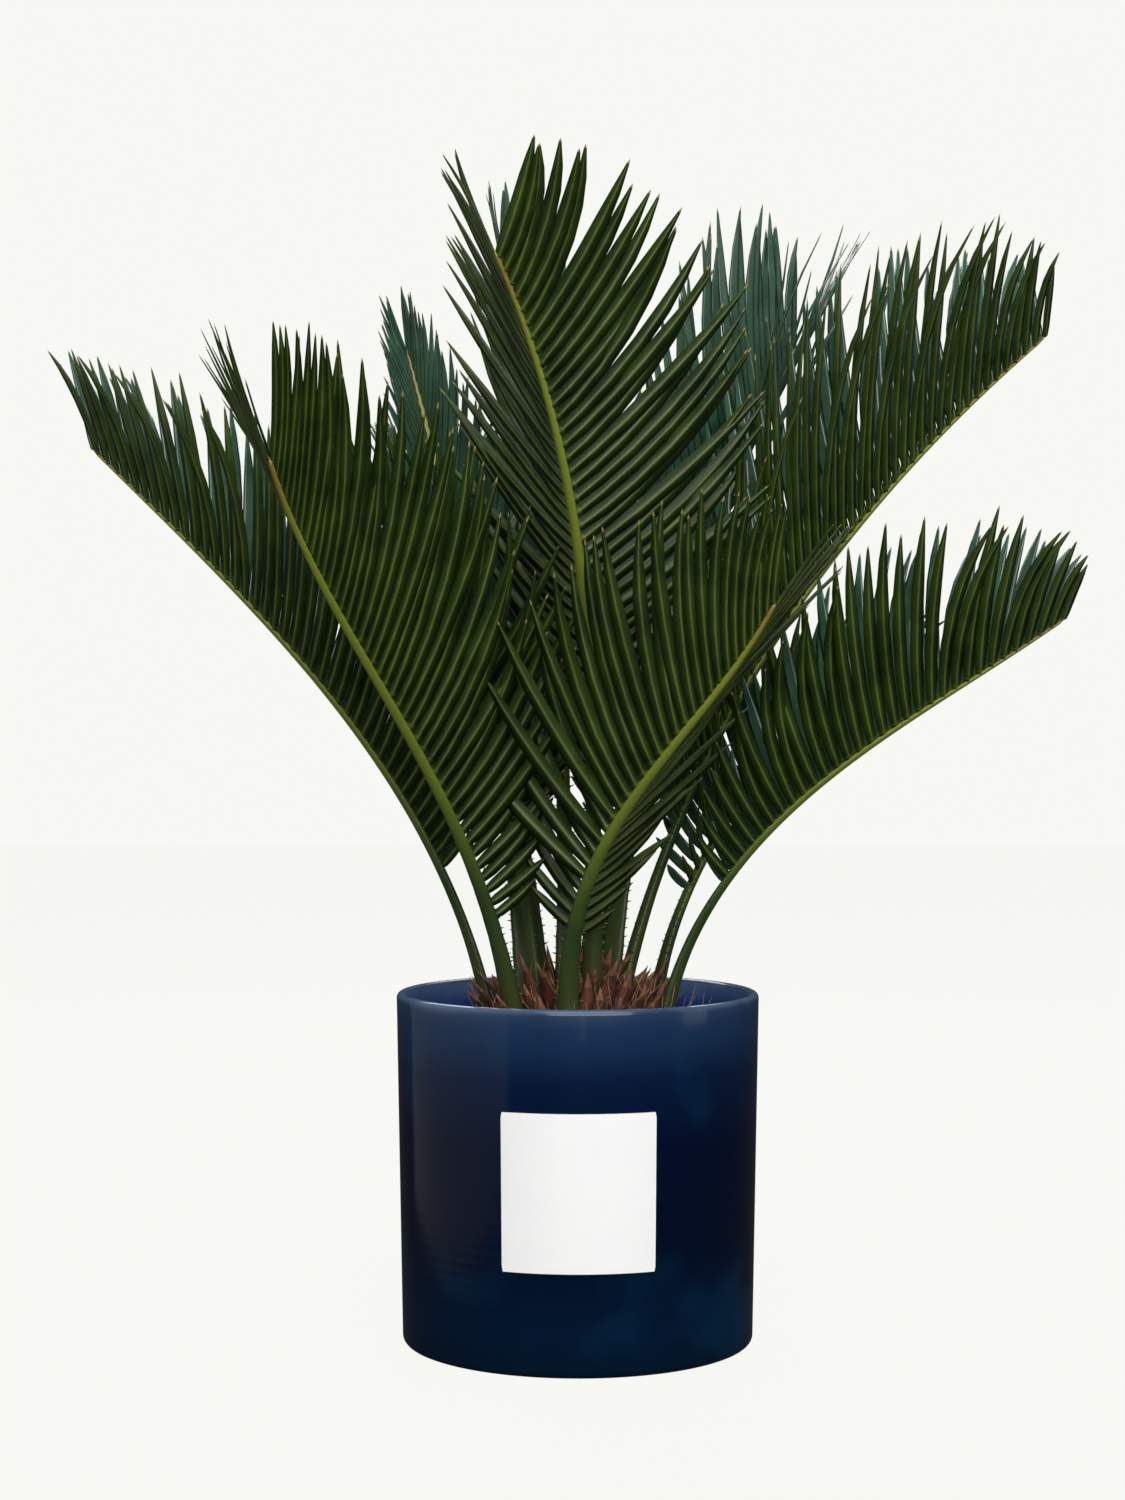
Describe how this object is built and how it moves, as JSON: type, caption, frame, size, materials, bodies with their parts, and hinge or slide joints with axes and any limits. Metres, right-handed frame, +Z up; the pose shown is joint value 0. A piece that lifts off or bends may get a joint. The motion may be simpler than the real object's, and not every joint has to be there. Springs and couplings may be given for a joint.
{
  "type": "potted cycad",
  "caption": "Young cycad with arching feather-shaped fronds and a short scaly stem, growing in soil in a round flat-bottomed glazed pot.",
  "frame": {"origin": "centre of the pot's flat underside", "axes": "+Z up along the pot's axis; -Y towards the side with the paper label, which is the picture's view; +X to the right of that view"},
  "size_m": [0.5731, 0.5794, 0.6907],
  "materials": {
    "glaze": "glossy dark blue glaze",
    "label": "blank, matt",
    "soil": "dark loose potting soil",
    "scales": "dry brown fibrous scales",
    "frond": "glossy dark green leaflets"
  },
  "bodies": {
    "root": {"pot": "glaze", "paper_label": "label", "soil": "soil", "stem": "scales", "frond_tall_front": "frond", "frond_high_right": "frond", "frond_left": "frond", "frond_front_left": "frond", "frond_low_right": "frond", "frond_front_right": "frond", "frond_back_right": "frond", "frond_back_left": "frond", "frond_tall_back": "frond", "frond_inner_left": "frond", "frond_inner_right": "frond", "frond_rear_left": "frond", "frond_rear_right": "frond"}
  },
  "joints": []
}
